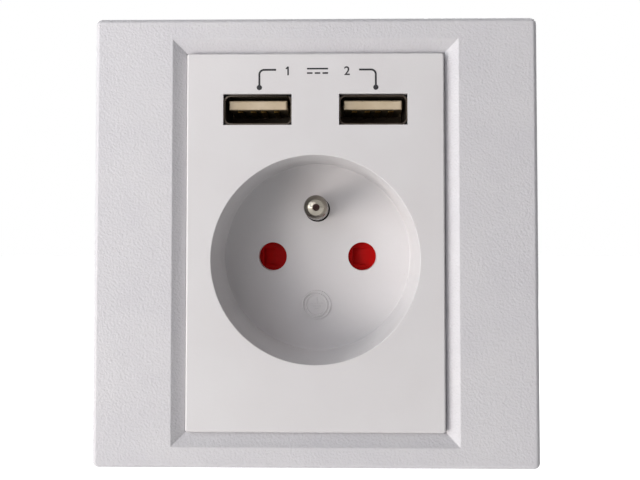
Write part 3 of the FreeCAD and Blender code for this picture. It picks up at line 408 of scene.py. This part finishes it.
def fromCupAxis(place):
    # millimetres from the middle line of the recess
    return math.hypot(place.x, place.z - cupZ) / mm


# Outer frame
frameLook = dict(cornerRound=0.25, mouthRound=0.12, edgeBand=1.0)
mesh = mergedCopy("outer_frame")
low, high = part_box("outer_frame")
band = frameLook["edgeBand"] * mm


def onOutside(edge):
    # near the outline of the plate and near its front
    place = middleOf(edge)
    nearSide = max(abs(place.x) - high.x, abs(place.z) - high.z) > -band
    return nearSide and place.y < low.y + band


bevelEdges(mesh, [e for e in corners(mesh) if onOutside(e)], frameLook["cornerRound"])
bevelEdges(mesh, corners(mesh), frameLook["mouthRound"], segments=2)
finishPiece("frame_moulding", mesh, "frame_white", "socket", ["outer_frame"])
print("outer frame")

# Cover with the recess
coverLook = dict(
    recessR=19.7, slack=0.1, rimBand=0.8, rimChamfer=0.12, rimRound=0.04, floorRound=0.22, edgeRound=0.1,
)
mesh = mergedCopy("cover_plate")
recessR = coverLook["recessR"]
rimCorner = [
    v for v in mesh.verts
    if abs(v.co.y - coverFront) < near
    and coverLook["slack"] < fromCupAxis(v.co) - recessR < coverLook["rimBand"]
]
narrowed = (recessR + coverLook["rimChamfer"]) / fromCupAxis(rimCorner[0].co)
bmesh.ops.scale(
    mesh, verts=rimCorner, vec=(narrowed, 1, narrowed), space=Matrix.Translation((0, 0, -cupZ))
)
floorEdges = [
    e for e in corners(mesh)
    if abs(middleOf(e).y - floorY) < near and abs(fromCupAxis(middleOf(e)) - recessR) < coverLook["slack"]
]
bevelEdges(mesh, floorEdges, coverLook["floorRound"], segments=5)
rimEdges = [
    e for e in corners(mesh)
    if middleOf(e).y < coverFront + coverLook["rimBand"] * mm
    and -2 * coverLook["slack"] < fromCupAxis(middleOf(e)) - recessR < coverLook["rimBand"]
]
bevelEdges(mesh, rimEdges, coverLook["rimRound"], segments=2)
bevelEdges(mesh, corners(mesh, above=30), coverLook["edgeRound"], segments=2)
finishPiece("cover_moulding", mesh, "cover_white", "socket", ["cover_plate"])
print("cover")

# Pieces whose own form is right, with their edges broken: piece, node and round in millimetres
for name, node, radius in (
    ("rear_shell", "rear_housing", 0.25),
    ("support_sheet", "support_frame", 0.15),
    ("tongue_left", "usb_tongue_left", 0.08),
    ("tongue_right", "usb_tongue_right", 0.08),
    ("leaves_left", "usb_contacts_left", 0.06),
    ("leaves_right", "usb_contacts_right", 0.06),
    ("shutter_case", "shutter_housing", 0.12),
    ("carrier_moulding", "contact_carrier", 0.15),
    ("live_spring_clip", "live_contact", 0.06),
    ("neutral_spring_clip", "neutral_contact", 0.06),
    ("earth_strap_stamped", "earth_strap", 0.08),
    ("board_laminate", "usb_board", 0.06),
    ("chip_moulding", "controller_chip", 0.12),
    ("core_halves", "transformer_core", 0.25),
):
    softened(name, node, radius)
for number in (1, 2, 3, 4):
    softened(f"housing_screw_turned_{number}", f"housing_screw_{number}", 0.3, segments=3)
for pole in ("live", "neutral", "earth"):
    softened(pole + "_cage", pole + "_terminal", 0.2)
    softened(pole + "_clamp_turned", pole + "_terminal_screw", 0.15)
softened("shutter_moulding", "safety_shutter", 0.35, segments=4)
softened("taped_winding", "transformer_bobbin", 0.5, segments=3)
softened("disc_dipped", "suppression_capacitor", 0.6, segments=4, above=50)
softened("fuse_dipped", "fuse_resistor", 0.5, segments=4, above=50)
print("pieces with broken edges")

# Port shells, folded from sheet, with four spring fingers each
portLook = dict(
    cornerRound=0.33, longEdge=8, alongY=0.99, edgeRound=0.06, edgeAbove=50, wall=0.3,
    fingerWide=1.6, fingerLong=3.2, fingerBack=6.8, fingerApart=5.2, fingerThick=0.2,
    fingerDip=0.45, fingerSteps=10, dipReach=0.72, dipCurve=1.3,
)


def fingerProfile(frontY, wallZ, inward):
    # a strip that leaves the wall at its back end, dips into the port and turns up at its tip
    points = []
    for step in range(portLook["fingerSteps"] + 1):
        along = step / portLook["fingerSteps"]
        swing = math.sin(math.pi * along * portLook["dipReach"]) ** portLook["dipCurve"]
        y = frontY + (portLook["fingerBack"] - along * portLook["fingerLong"]) * mm
        points.append((y, wallZ + inward * swing * portLook["fingerDip"] * mm))
    return points


def runsBack(edge):
    # a long edge along Y
    turned = abs((edge.verts[0].co - edge.verts[1].co).normalized().y)
    return turned > portLook["alongY"] and edge.calc_length() > portLook["longEdge"] * mm


for side in ("left", "right"):
    node = "usb_shell_" + side
    low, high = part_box(node)
    mesh = mergedCopy(node)
    bevelEdges(mesh, [e for e in corners(mesh) if runsBack(e)], portLook["cornerRound"])
    bevelEdges(mesh, corners(mesh, portLook["edgeAbove"]), portLook["edgeRound"], segments=2)
    finishPiece("port_shell_" + side, mesh, "port_steel", "socket", [node])
    mesh = bmesh.new()
    middleX = (low.x + high.x) / 2
    halfWall = portLook["wall"] / 2 * mm
    wide = portLook["fingerWide"] * mm
    for wallZ, inward in ((high.z - halfWall, -1), (low.z + halfWall, 1)):
        for apart in (-0.5, 0.5):
            x = middleX + apart * portLook["fingerApart"] * mm - wide / 2
            line = [mesh.verts.new((x, y, z)) for y, z in fingerProfile(low.y, wallZ, inward)]
            edges = [mesh.edges.new(pair) for pair in zip(line, line[1:])]
            pulled = bmesh.ops.extrude_edge_only(mesh, edges=edges)["geom"]
            bmesh.ops.translate(mesh, verts=newVerts(pulled), vec=rightward * wide)
    bmesh.ops.recalc_face_normals(mesh, faces=mesh.faces)
    bmesh.ops.solidify(mesh, geom=mesh.faces[:], thickness=portLook["fingerThick"] * mm)
    finishPiece("port_fingers_" + side, mesh, "port_steel", "socket")
print("port shells")


def spinProfile(mesh, profile, centre, steps, joined=False):
    # points of (distance from the axis, y) spun all the way round an axis along Y
    ring = [mesh.verts.new((centre.x + away, y, centre.z)) for away, y in profile]
    ends = ring[1:] + ring[:1] if joined else ring[1:]
    edges = [mesh.edges.new(pair) for pair in zip(ring, ends)]
    bmesh.ops.spin(
        mesh, geom=ring + edges, cent=centre, axis=Vector((0, 1, 0)), angle=math.tau,
        steps=steps, use_merge=True,
    )


# Earth pin: domed tip, neck in the floor, flange behind it, tail, rivet and head
pinLook = dict(
    steps=64, domeSteps=14, neckIn=0.2, flangeR=2.9, flangeThick=1.2, tailR=2.0,
    rivetR=1.4, headThick=0.6, strapThick=0.8,
)
low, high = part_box("earth_pin")
pinMount = mount["earth_contact_pin"]
pinR = pinMount["dims"]["r_mm"] * mm
profile = []
for step in range(pinLook["domeSteps"] + 1):
    angle = math.pi / 2 * step / pinLook["domeSteps"]
    profile.append((pinR * math.sin(angle), low.y + pinR * (1 - math.cos(angle))))
neckR = pinR - pinLook["neckIn"] * mm
flangeR, tailR, rivetR = (pinLook[name] * mm for name in ("flangeR", "tailR", "rivetR"))
flangeY = backY + pinLook["flangeThick"] * mm
headY = high.y - pinLook["headThick"] * mm
strapY = headY - pinLook["strapThick"] * mm
profile += [(pinR, floorY), (neckR, floorY), (neckR, backY), (flangeR, backY), (flangeR, flangeY)]
profile += [(tailR, flangeY), (tailR, strapY), (rivetR, strapY), (rivetR, headY), (tailR, headY)]
profile += [(tailR, high.y), (0, high.y)]
mesh = bmesh.new()
spinProfile(mesh, profile, Vector((0, 0, pinMount["pos_m"][2])), pinLook["steps"])
bmesh.ops.remove_doubles(mesh, verts=mesh.verts, dist=mergeGap)
finishPiece("pin_turned", mesh, "pin_nickel", "socket", ["earth_pin"])
print("earth pin")

# Shutter spring: a wire wound round an axis along X, with a closed turn at both ends
springLook = dict(wireR=0.15, wireSides=12, stepsPerTurn=24, closedTurns=1, openTurns=6, closedPitch=0.32)
low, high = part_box("shutter_spring")
wireR = springLook["wireR"] * mm
coilR = (high.z - low.z) / 2 - wireR
springAxis = Vector((low.x + wireR, (low.y + high.y) / 2, (low.z + high.z) / 2))
closedPitch = springLook["closedPitch"] * mm
openLong = high.x - low.x - 2 * wireR - 2 * springLook["closedTurns"] * closedPitch
mesh = bmesh.new()
start = Matrix.Translation(springAxis + Vector((0, 0, coilR))) @ Matrix.Rotation(math.pi / 2, 4, "X")
bmesh.ops.create_circle(
    mesh, cap_ends=True, segments=springLook["wireSides"], radius=wireR, matrix=start
)
edges = mesh.edges[:]
for turns, pitch in (
    (springLook["closedTurns"], closedPitch),
    (springLook["openTurns"], openLong / springLook["openTurns"]),
    (springLook["closedTurns"], closedPitch),
):
    last = bmesh.ops.spin(
        mesh, geom=edges, cent=springAxis, axis=rightward, angle=math.tau * turns,
        steps=turns * springLook["stepsPerTurn"], dvec=rightward * pitch / springLook["stepsPerTurn"],
    )["geom_last"]
    edges = newEdges(last)
bmesh.ops.contextual_create(mesh, geom=edges)
spring = finishPiece("spring_coil", mesh, "spring_steel", "socket", ["shutter_spring"])
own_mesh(spring)
print("spring")


def thicken(mesh, thick):
    # every flat face pulled towards the front by that many metres into a closed plate
    pulled = bmesh.ops.extrude_face_region(mesh, geom=mesh.faces[:])["geom"]
    bmesh.ops.translate(mesh, verts=newVerts(pulled), vec=forward * thick)


def addBar(mesh, x, z, wide, tall, y, thick, turn=0):
    # a thin flat bar on a face that looks forward
    place = Matrix.Translation((x, y - thick / 2, z)) @ Matrix.Rotation(turn, 4, "Y")
    bmesh.ops.create_cube(mesh, size=1, matrix=place @ Matrix.Diagonal((wide, thick, tall, 1)))


# Printed brackets from the ports to the plain numbers between them
printLook = dict(
    thick=0.03, lift=0.005, middleX=0.42, lineWide=0.36, dotR=0.5, dotSides=32, dotX=11.05, dotZ=29.2,
    lineFrom=0.9, topZ=32.58, turnR=0.9, turnSteps=10, endX=7.88,
)
inkY = coverFront + printLook["lift"] * mm
inkThick = printLook["thick"] * mm
half = printLook["lineWide"] / 2 * mm
startZ = (printLook["dotZ"] + printLook["dotR"] * printLook["lineFrom"]) * mm
turnZ = (printLook["topZ"] - printLook["turnR"]) * mm
facing = Matrix.Rotation(math.pi / 2, 4, "X")  # stands a flat shape up to face the front
mesh = bmesh.new()
for side in (-1, 1):
    dotX = side * printLook["dotX"] * mm
    dotPlace = Matrix.Translation((dotX, inkY, printLook["dotZ"] * mm)) @ facing
    bmesh.ops.create_circle(
        mesh, cap_ends=True, segments=printLook["dotSides"],
        radius=printLook["dotR"] * mm, matrix=dotPlace,
    )
    ends = [mesh.verts.new((dotX + shift, inkY, startZ)) for shift in (-half, half)]
    edge = mesh.edges.new(ends)
    rise = Vector((0, 0, turnZ - startZ))
    run = rightward * side * (printLook["endX"] + printLook["turnR"] - printLook["dotX"]) * mm
    centre = Vector((dotX - side * printLook["turnR"] * mm, inkY, turnZ))
    for step in (rise, None, run):
        if step is None:  # the quarter turn between the two straight lines
            made = bmesh.ops.spin(
                mesh, geom=[edge], cent=centre, axis=Vector((0, 1, 0)), angle=-side * math.pi / 2,
                steps=printLook["turnSteps"],
            )["geom_last"]
        else:
            made = bmesh.ops.extrude_edge_only(mesh, edges=[edge])["geom"]
            bmesh.ops.translate(mesh, verts=newVerts(made), vec=step)
        edge = newEdges(made)[-1]
thicken(mesh, inkThick)
bmesh.ops.translate(mesh, verts=mesh.verts, vec=rightward * printLook["middleX"] * mm)
finishPiece("printed_brackets", mesh, "chip_black", "socket", material=printInk)

# Two plain numbers, with the sign for direct current between them
numberLook = dict(
    size=2.35, bold=0.03, x=5.6, z=31.56, tall=1.62, flagLong=0.62, flagTall=0.22, flagTurn=-0.8,
    flagLeft=0.32, flagDown=0.36, barWide=4.0, barTall=0.3, barZ=32.78, barApart=0.84, dashGap=0.42,
)
mesh = bmesh.new()
for side, word in ((-1, "1"), (1, "2")):
    letters = bpy.data.curves.new("number" + word, "FONT")
    letters.body = word
    letters.size = numberLook["size"] * mm
    letters.offset = numberLook["bold"] * mm
    letters.align_x = "CENTER"
    textPiece = bpy.data.objects.new("number" + word, letters)
    bpy.context.scene.collection.objects.link(textPiece)
    ready = textPiece.evaluated_get(bpy.context.evaluated_depsgraph_get())
    flat = bpy.data.meshes.new_from_object(ready)
    before = set(mesh.verts)
    mesh.from_mesh(flat)
    fresh = [v for v in mesh.verts if v not in before]
    place = Matrix.Translation((side * numberLook["x"] * mm, inkY, numberLook["z"] * mm))
    bmesh.ops.transform(mesh, matrix=place @ facing, verts=fresh)
    bpy.data.objects.remove(textPiece)
bmesh.ops.remove_doubles(mesh, verts=mesh.verts, dist=mergeGap)
thicken(mesh, inkThick)
flagLong = numberLook["flagLong"] * mm  # the slanted stroke at the top of the 1
flagX = -numberLook["x"] * mm - numberLook["flagLeft"] * flagLong
flagZ = (numberLook["z"] + numberLook["tall"]) * mm - numberLook["flagDown"] * flagLong
addBar(
    mesh, flagX, flagZ, flagLong, numberLook["flagTall"] * mm, inkY, inkThick, numberLook["flagTurn"]
)
barTall = numberLook["barTall"] * mm
barZ = numberLook["barZ"] * mm
dashWide = (numberLook["barWide"] - 2 * numberLook["dashGap"]) / 3
addBar(mesh, 0, barZ, numberLook["barWide"] * mm, barTall, inkY, inkThick)
for place in (-1, 0, 1):
    dashX = place * (dashWide + numberLook["dashGap"]) * mm
    addBar(mesh, dashX, barZ - numberLook["barApart"] * mm, dashWide * mm, barTall, inkY, inkThick)
bmesh.ops.translate(mesh, verts=mesh.verts, vec=rightward * printLook["middleX"] * mm)
finishPiece("printed_numbers", mesh, "chip_black", "socket", material=printInk)
print("print")

# Faint round mark on the recess floor, left by the mould: two rings round the sign for earth
markLook = dict(
    centreX=-0.2, centreZ=-13.6, outerR=2.9, innerR=2.25, lineWide=0.4, topShare=0.7, high=0.24,
    sunk=0.06, steps=128,
    bars=((0.95, 0.34, 1.3), (0.15, 2.4, 0.34), (-0.45, 1.6, 0.34), (-1.05, 0.8, 0.34)),
)
markCentre = Vector((markLook["centreX"] * mm, floorY, markLook["centreZ"] * mm))
half = markLook["lineWide"] / 2 * mm
topHalf = half * markLook["topShare"]
top = floorY - markLook["high"] * mm
base = floorY + markLook["sunk"] * mm
mesh = bmesh.new()
for radius in (markLook["outerR"] * mm, markLook["innerR"] * mm):
    innerSide = [(radius - half, base), (radius - topHalf, top)]
    outerSide = [(radius + topHalf, top), (radius + half, base)]
    spinProfile(mesh, innerSide + outerSide, markCentre, markLook["steps"], joined=True)
for up, wide, tall in markLook["bars"]:
    barZ = markCentre.z + up * mm
    addBar(mesh, markCentre.x, barZ, wide * mm, tall * mm, floorY, markLook["high"] * mm)
bmesh.ops.remove_doubles(mesh, verts=mesh.verts, dist=mergeGap)
finishPiece("mould_mark", mesh, "cover_white", "socket")
print("mould mark")


def seenDirectly(tree):
    # 1 for what the camera sees itself, in a mirror or through glass
    path = addNode(tree, "ShaderNodeLightPath").outputs
    seen = path["Is Camera Ray"]
    for name in ("Is Glossy Ray", "Is Transmission Ray"):
        links = {firstValue: seen, secondValue: path[name]}
        seen = addNode(tree, "ShaderNodeMath", {"operation": "MAXIMUM"}, links).outputs["Value"]
    return seen


def studioPiece(name, mesh, colour, rough=0.9):
    # a flat piece of the studio, in dull paper of that colour
    material, tree, shader = startMaterial(name + "Paper")[:3]
    shader.inputs["Base Color"].default_value = toLinear(colour)
    shader.inputs["Roughness"].default_value = rough
    data = bpy.data.meshes.new(name)
    mesh.to_mesh(data)
    mesh.free()
    data.materials.append(material)
    piece = bpy.data.objects.new(name, data)
    bpy.context.scene.collection.objects.link(piece)
    piece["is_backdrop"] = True
    return piece, tree, shader


# Pale floor with a glow of its own: it looks nearly white and still takes the shadow
floorLook = dict(size=4.0, height=-0.075, colour="#f4f4f3", glow=0.88)
mesh = bmesh.new()
bmesh.ops.create_grid(mesh, x_segments=2, y_segments=2, size=floorLook["size"] / 2)
bmesh.ops.translate(mesh, verts=mesh.verts, vec=(0, 0, floorLook["height"]))
floor, tree, shader = studioPiece("floor", mesh, floorLook["colour"])
floor.visible_shadow = False  # the low lamps shine through it
shader.inputs["Emission Color"].default_value = (1, 1, 1, 1)
glow = addNode(
    tree, "ShaderNodeMath", {"operation": "MULTIPLY", secondValue: floorLook["glow"]},
    {firstValue: seenDirectly(tree)},
)
tree.links.new(glow.outputs["Value"], shader.inputs["Emission Strength"])

# A dark card in front of the camera, seen only in the shine of metal and plastic
cardLook = dict(radius=0.07, sides=48, place=(0.004, -0.11, 0.0), colour="#6b5052")
mesh = bmesh.new()
bmesh.ops.create_circle(
    mesh, cap_ends=True, segments=cardLook["sides"], radius=cardLook["radius"],
    matrix=Matrix.Translation(cardLook["place"]) @ facing,
)
card = studioPiece("darkCard", mesh, cardLook["colour"])[0]
card.visible_camera = False
card.visible_diffuse = False
card.visible_shadow = False
print("floor and card")

# Soft round lamps that look at the middle of the cover
lampLook = {
    "highLeftLamp": dict(towards=(-0.78, -0.55, 0.30), away=0.65, size=0.65, power=1.50, colour="#f2faff"),
    "frontLamp": dict(towards=(-0.35, -0.8, 0.42), away=0.4, size=0.32, power=0.36, colour="#fffafd"),
    "lowLeftLamp": dict(towards=(-0.75, -0.58, -0.32), away=0.65, size=0.39, power=1.72, colour="#fff8f4"),
    "lowFrontLamp": dict(towards=(-0.65, -0.72, -0.25), away=0.65, size=0.31, power=1.18, colour="#fff6f0"),
    "sideLamp": dict(towards=(-0.92, -0.38, 0.05), away=0.65, size=0.3, power=0.55, colour="#fffaf4"),
    "behindLamp": dict(towards=(0.5, 0.8, 0.6), away=0.7, size=0.5, power=3.2, colour="#ffffff"),
}
for name, look in lampLook.items():
    lamp = bpy.data.lights.new(name, "AREA")
    lamp.shape = "DISK"
    lamp.size = look["size"]
    lamp.energy = look["power"]
    lamp.color = toLinear(look["colour"])[:3]
    towards = Vector(look["towards"])
    lampPiece = bpy.data.objects.new(name, lamp)
    lampPiece.location = towards.normalized() * look["away"]
    lampPiece.rotation_euler = (-towards).to_track_quat("-Z", "Y").to_euler()
    bpy.context.scene.collection.objects.link(lampPiece)

# Dim room, white where it is seen itself
roomLook = dict(colour="#eef0f4", strength=0.06)
world = bpy.data.worlds.new("studio")
world.use_nodes = True
bpy.context.scene.world = world
tree = world.node_tree
tree.nodes.clear()
dimRoom = {"Color": toLinear(roomLook["colour"]), "Strength": roomLook["strength"]}
whiteRoom = {"Color": (1, 1, 1, 1), "Strength": 1.0}
dim = addNode(tree, "ShaderNodeBackground", dimRoom).outputs["Background"]
white = addNode(tree, "ShaderNodeBackground", whiteRoom).outputs["Background"]
either = addNode(tree, "ShaderNodeMixShader", links={"Fac": seenDirectly(tree), 1: dim, 2: white})
addNode(tree, "ShaderNodeOutputWorld", links={"Surface": either.outputs["Shader"]})
print("lamps and room")

# Camera: place in millimetres, lens from its focal length in pixels of the 640 by 480 picture
cameraLook = dict(
    place=(3.79, -138.9, 1.86), pitchUp=0.029, yawLeft=0.015,
    focalPixels=668.9, imageWide=640, imageTall=480, sensor=36,
    axisPixel=(325.3, 212.2), clipStart=1,
)
imageWide = cameraLook["imageWide"]
camera = bpy.data.cameras.new("camera")
camera.sensor_width = cameraLook["sensor"]
camera.lens = cameraLook["focalPixels"] / imageWide * cameraLook["sensor"]
camera.shift_x = (imageWide / 2 - cameraLook["axisPixel"][0]) / imageWide
camera.shift_y = (cameraLook["axisPixel"][1] - cameraLook["imageTall"] / 2) / imageWide
camera.clip_start = cameraLook["clipStart"] * mm
holder = bpy.data.objects.new("camera", camera)
holder.location = Vector(cameraLook["place"]) * mm
holder.rotation_euler = Euler((math.pi / 2 + cameraLook["pitchUp"], 0, cameraLook["yawLeft"]))
bpy.context.scene.collection.objects.link(holder)
bpy.context.scene.camera = holder
bpy.context.scene.view_settings.view_transform = "Standard"
print("camera")

low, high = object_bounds()
